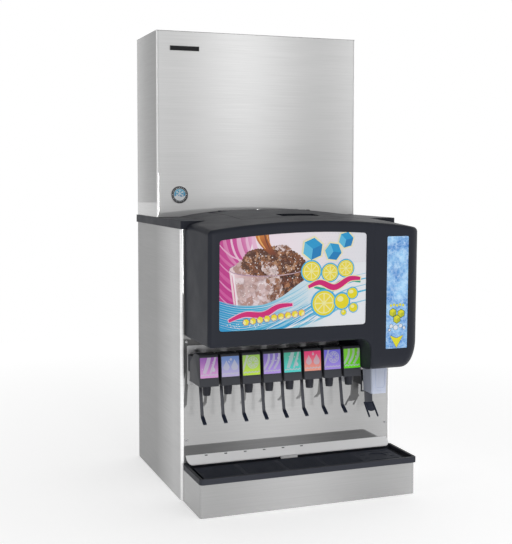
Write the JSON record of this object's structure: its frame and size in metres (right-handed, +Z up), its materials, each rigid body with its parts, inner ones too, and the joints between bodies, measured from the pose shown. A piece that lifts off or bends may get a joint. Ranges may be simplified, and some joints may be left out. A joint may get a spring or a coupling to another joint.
{
  "type": "fountain soda dispenser",
  "caption": "Countertop soda fountain with lever valves under a display hood, an ice chute, a drip tray and a rear ice maker above an ice hopper.",
  "frame": {"origin": "centre of the cabinet's footprint, on the counter", "axes": "+Z up, -Y towards the customer, +X to the customer's right"},
  "size_m": [0.77, 0.8436, 1.57],
  "materials": {
    "panel_steel": "horizontally brushed stainless steel sheet",
    "bright_steel": "bright stainless steel",
    "base_steel": "galvanised sheet",
    "hood_plastic": "charcoal moulded plastic with a fine texture",
    "tray_plastic": "navy-black moulded plastic",
    "valve_plastic": "charcoal moulded plastic",
    "nozzle_plastic": "glossy black plastic",
    "lever_plastic": "charcoal plastic",
    "display_film": "translucent printed display",
    "strip_film": "translucent printed strip",
    "label_film": "printed label",
    "badge_enamel": "black enamel",
    "clear_plastic": "translucent pale blue plastic",
    "hopper_liner": "white food-grade liner",
    "cast_aluminium": "as cast",
    "coil_copper": "finned copper coil",
    "compressor_paint": "black enamel"
  },
  "bodies": {
    "dispenser": {"cabinet_base": "base_steel", "cabinet_left_panel": "panel_steel", "cabinet_right_panel": "panel_steel", "cabinet_rear_panel": "panel_steel", "splash_panel": "panel_steel", "splash_ledge": "bright_steel", "top_plate": "hood_plastic", "tray_skirt": "panel_steel", "drip_tray": "tray_plastic", "maker_base": "base_steel", "maker_left_panel": "panel_steel", "maker_right_panel": "panel_steel", "maker_front_panel": "panel_steel", "maker_rear_panel": "panel_steel", "maker_top_panel": "panel_steel", "maker_badges": "badge_enamel", "evaporator": "cast_aluminium", "gear_motor": "valve_plastic", "compressor": "compressor_paint", "condenser": "coil_copper", "fan_motor": "base_steel", "control_box": "bright_steel", "water_reservoir": "clear_plastic", "ice_spout": "clear_plastic", "ice_hopper": "hopper_liner", "agitator_motor": "valve_plastic", "cold_plate": "cast_aluminium", "product_lines": "clear_plastic", "hood": "hood_plastic", "display_panel": "display_film", "strip_panel": "strip_film", "ice_chute": "clear_plastic", "chute_bracket": "valve_plastic", "valve_rail": "panel_steel", "valve_labels": "label_film", "valve_nozzles": "nozzle_plastic", "screws": "bright_steel", "valve_1": "valve_plastic", "valve_2": "valve_plastic", "valve_3": "valve_plastic", "valve_4": "valve_plastic", "valve_5": "valve_plastic", "valve_6": "valve_plastic", "valve_7": "valve_plastic", "valve_8": "valve_plastic"},
    "cup_rest": {"cup_rest": "tray_plastic"},
    "fill_lid": {"fill_lid": "hood_plastic"},
    "ice_lever": {"ice_lever": "lever_plastic"},
    "ice_gate": {"ice_gate": "bright_steel"},
    "agitator": {"agitator": "cast_aluminium"},
    "auger": {"auger": "bright_steel"},
    "condenser_fan": {"condenser_fan": "lever_plastic"},
    "lever_1": {"lever_1": "lever_plastic"},
    "lever_2": {"lever_2": "lever_plastic"},
    "lever_3": {"lever_3": "lever_plastic"},
    "lever_4": {"lever_4": "lever_plastic"},
    "lever_5": {"lever_5": "lever_plastic"},
    "lever_6": {"lever_6": "lever_plastic"},
    "lever_7": {"lever_7": "lever_plastic"},
    "lever_8": {"lever_8": "lever_plastic"}
  },
  "joints": [
    {"name": "lever_1_push", "type": "hinge", "parent": "dispenser", "child": "lever_1", "pos_m": [-0.3383, -0.3615, 0.416], "axis": [1, 0, 0], "range_deg": [0, 12], "stiffness_Nm_per_rad": 0.25, "springref_deg": -6.88},
    {"name": "lever_2_push", "type": "hinge", "parent": "dispenser", "child": "lever_2", "pos_m": [-0.2683, -0.3615, 0.416], "axis": [1, 0, 0], "range_deg": [0, 12], "stiffness_Nm_per_rad": 0.25, "springref_deg": -6.88},
    {"name": "lever_3_push", "type": "hinge", "parent": "dispenser", "child": "lever_3", "pos_m": [-0.1983, -0.3615, 0.416], "axis": [1, 0, 0], "range_deg": [0, 12], "stiffness_Nm_per_rad": 0.25, "springref_deg": -6.88},
    {"name": "lever_4_push", "type": "hinge", "parent": "dispenser", "child": "lever_4", "pos_m": [-0.1283, -0.3615, 0.416], "axis": [1, 0, 0], "range_deg": [0, 12], "stiffness_Nm_per_rad": 0.25, "springref_deg": -6.88},
    {"name": "lever_5_push", "type": "hinge", "parent": "dispenser", "child": "lever_5", "pos_m": [-0.0583, -0.3615, 0.416], "axis": [1, 0, 0], "range_deg": [0, 12], "stiffness_Nm_per_rad": 0.25, "springref_deg": -6.88},
    {"name": "lever_6_push", "type": "hinge", "parent": "dispenser", "child": "lever_6", "pos_m": [0.0117, -0.3615, 0.416], "axis": [1, 0, 0], "range_deg": [0, 12], "stiffness_Nm_per_rad": 0.25, "springref_deg": -6.88},
    {"name": "lever_7_push", "type": "hinge", "parent": "dispenser", "child": "lever_7", "pos_m": [0.0817, -0.3615, 0.416], "axis": [1, 0, 0], "range_deg": [0, 12], "stiffness_Nm_per_rad": 0.25, "springref_deg": -6.88},
    {"name": "lever_8_push", "type": "hinge", "parent": "dispenser", "child": "lever_8", "pos_m": [0.1517, -0.3615, 0.416], "axis": [1, 0, 0], "range_deg": [0, 12], "stiffness_Nm_per_rad": 0.25, "springref_deg": -6.88},
    {"name": "ice_lever_push", "type": "hinge", "parent": "dispenser", "child": "ice_lever", "pos_m": [0.27, -0.3385, 0.372], "axis": [1, 0, 0], "range_deg": [0, 10], "stiffness_Nm_per_rad": 0.4, "springref_deg": -6.88},
    {"name": "ice_gate_swing", "type": "hinge", "parent": "dispenser", "child": "ice_gate", "pos_m": [0.264, -0.3055, 0.684], "axis": [1, 0, 0], "range_deg": [-36, 0]},
    {"name": "agitator_spin", "type": "hinge", "parent": "dispenser", "child": "agitator", "pos_m": [0.12, -0.0905, 0.69], "axis": [0, 1, 0], "continuous": true},
    {"name": "auger_spin", "type": "hinge", "parent": "dispenser", "child": "auger", "pos_m": [0.2, 0.1495, 1.2], "axis": [0, 0, 1], "continuous": true},
    {"name": "fan_spin", "type": "hinge", "parent": "dispenser", "child": "condenser_fan", "pos_m": [-0.205, 0.1945, 1.33], "axis": [0, 1, 0], "continuous": true},
    {"name": "fill_lid_hinge", "type": "hinge", "parent": "dispenser", "child": "fill_lid", "pos_m": [0, -0.0515, 0.937], "axis": [-1, 0, 0], "range_deg": [0, 78]},
    {"name": "cup_rest_lift", "type": "slide", "parent": "dispenser", "child": "cup_rest", "axis": [0, 0, 1], "range_m": [0, 0.1]}
  ],
  "couplings": [
    {"joint": "ice_gate_swing", "follows": "ice_lever_push", "ratio": -3.5}
  ]
}
